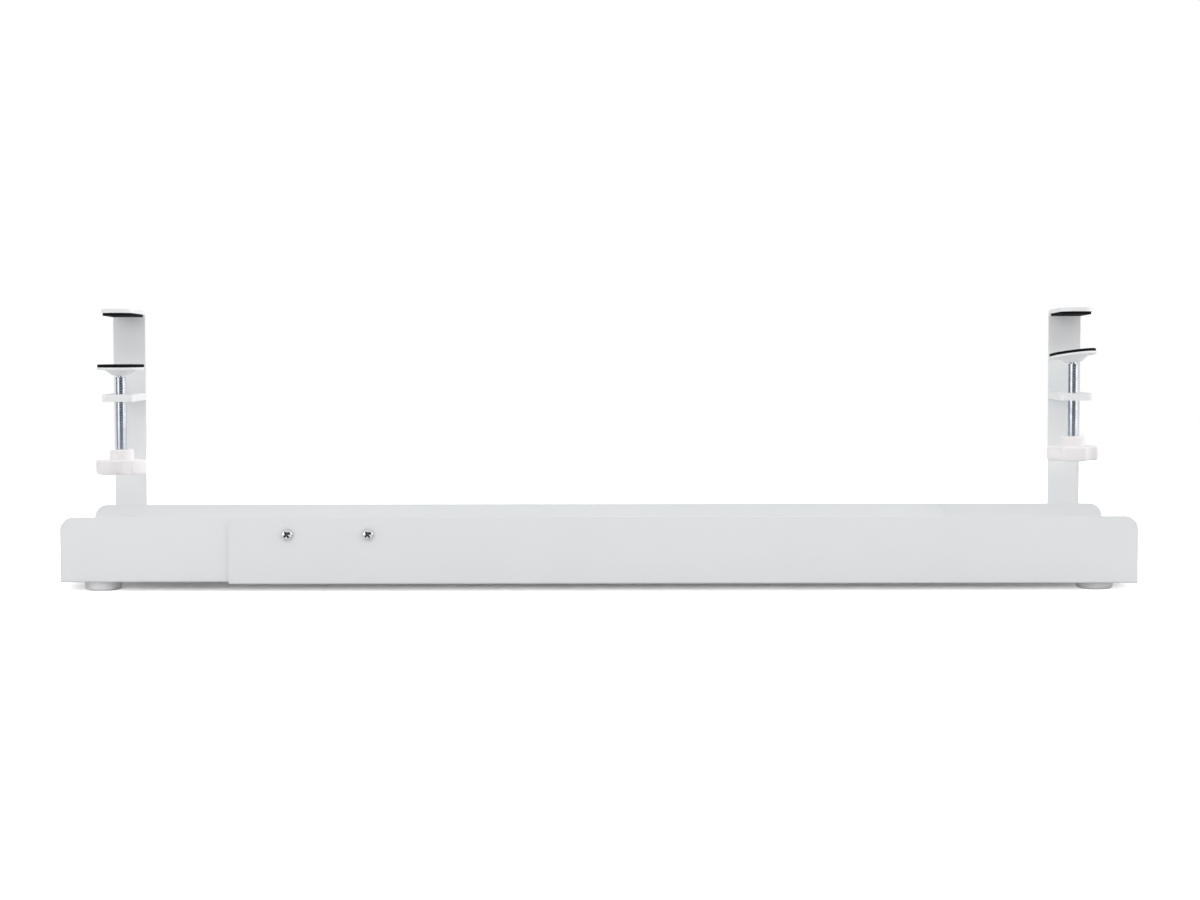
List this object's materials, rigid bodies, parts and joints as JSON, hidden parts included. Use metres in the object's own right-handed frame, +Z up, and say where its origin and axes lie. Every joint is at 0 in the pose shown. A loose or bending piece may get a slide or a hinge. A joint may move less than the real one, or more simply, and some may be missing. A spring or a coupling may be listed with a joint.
{
  "type": "under-desk cable management tray",
  "caption": "Width-adjustable under-desk cable tray: two nested open-ended channels on small feet, with a screw clamp at each end to hang it from a desk top.",
  "frame": {"origin": "middle of the bounding box on the plane the feet stand on", "axes": "+X along the tray towards the outer channel's end, -Y towards the front wall, +Z up from the feet to the clamps"},
  "size_m": [0.8, 0.1334, 0.2106],
  "materials": {
    "white_powder_coat": "satin white powder coat with a fine even texture",
    "white_plastic": "moulded satin white plastic",
    "white_foot": "matt white plastic",
    "black_rubber": "matt black foam rubber",
    "zinc_steel": "bright zinc plate",
    "chrome_steel": "bright nickel-chrome plate",
    "nylon": "natural nylon"
  },
  "bodies": {
    "outer_section": {"outer_tray": "white_powder_coat", "lock_screw_1": "chrome_steel", "lock_screw_2": "chrome_steel", "lock_washer_1": "zinc_steel", "lock_washer_2": "zinc_steel", "lock_nut_1": "zinc_steel", "lock_nut_2": "zinc_steel", "right_front_foot": "white_foot", "right_rear_foot": "white_foot", "right_clamp_bracket": "white_powder_coat", "right_upper_pad": "black_rubber", "right_threaded_shelf": "white_powder_coat", "right_column_bolt_1": "zinc_steel", "right_column_bolt_2": "zinc_steel", "right_column_nut_1": "zinc_steel", "right_column_nut_2": "zinc_steel"},
    "inner_section": {"inner_tray": "white_powder_coat", "left_front_foot": "white_foot", "left_rear_foot": "white_foot", "left_clamp_bracket": "white_powder_coat", "left_upper_pad": "black_rubber", "left_threaded_shelf": "white_powder_coat", "left_column_bolt_1": "zinc_steel", "left_column_bolt_2": "zinc_steel", "left_column_nut_1": "zinc_steel", "left_column_nut_2": "zinc_steel"},
    "left_screw_seat": {"left_socket_cup": "nylon"},
    "left_screw_and_knob": {"left_clamp_screw": "zinc_steel", "left_knob": "white_plastic"},
    "left_swivel_ring": {"left_snap_ring": "zinc_steel"},
    "left_swivel_pad": {"left_pressure_plate": "white_powder_coat", "left_lower_pad": "black_rubber"},
    "right_screw_seat": {"right_socket_cup": "nylon"},
    "right_screw_and_knob": {"right_clamp_screw": "zinc_steel", "right_knob": "white_plastic"},
    "right_swivel_ring": {"right_snap_ring": "zinc_steel"},
    "right_swivel_pad": {"right_pressure_plate": "white_powder_coat", "right_lower_pad": "black_rubber"}
  },
  "joints": [
    {"name": "tray_extend", "type": "slide", "parent": "outer_section", "child": "inner_section", "axis": [-1, 0, 0], "range_m": [-0.033, 0.4]},
    {"name": "left_screw_lift", "type": "slide", "parent": "inner_section", "child": "left_screw_seat", "axis": [0, 0, 1], "range_m": [-0.0125, 0.03188]},
    {"name": "left_screw_turn", "type": "hinge", "parent": "left_screw_seat", "child": "left_screw_and_knob", "pos_m": [-0.3714, 0.02552, 0.162], "axis": [0, 0, 1], "range_deg": [-3605, 9185]},
    {"name": "left_pad_tilt_fore_aft", "type": "hinge", "parent": "left_screw_seat", "child": "left_swivel_ring", "pos_m": [-0.3714, 0.02552, 0.162], "axis": [1, 0, 0], "range_deg": [-10, 10]},
    {"name": "left_pad_tilt_sideways", "type": "hinge", "parent": "left_swivel_ring", "child": "left_swivel_pad", "pos_m": [-0.3714, 0.02552, 0.162], "axis": [0, 1, 0], "range_deg": [-10, 10]},
    {"name": "right_screw_lift", "type": "slide", "parent": "outer_section", "child": "right_screw_seat", "axis": [0, 0, 1], "range_m": [-0.02187, 0.0225]},
    {"name": "right_screw_turn", "type": "hinge", "parent": "right_screw_seat", "child": "right_screw_and_knob", "pos_m": [0.3694, 0.02703, 0.1714], "axis": [0, 0, 1], "range_deg": [-6305, 6485]},
    {"name": "right_pad_tilt_fore_aft", "type": "hinge", "parent": "right_screw_seat", "child": "right_swivel_ring", "pos_m": [0.3694, 0.02703, 0.1714], "axis": [1, 0, 0], "range_deg": [-4.2, 15.8]},
    {"name": "right_pad_tilt_sideways", "type": "hinge", "parent": "right_swivel_ring", "child": "right_swivel_pad", "pos_m": [0.3694, 0.02703, 0.1714], "axis": [0, 0.9949, -0.1011], "range_deg": [-3.4, 16.6]}
  ],
  "couplings": [
    {"joint": "left_screw_turn", "follows": "left_screw_lift", "rad_per_m": 5026.5},
    {"joint": "right_screw_turn", "follows": "right_screw_lift", "rad_per_m": 5026.5}
  ]
}
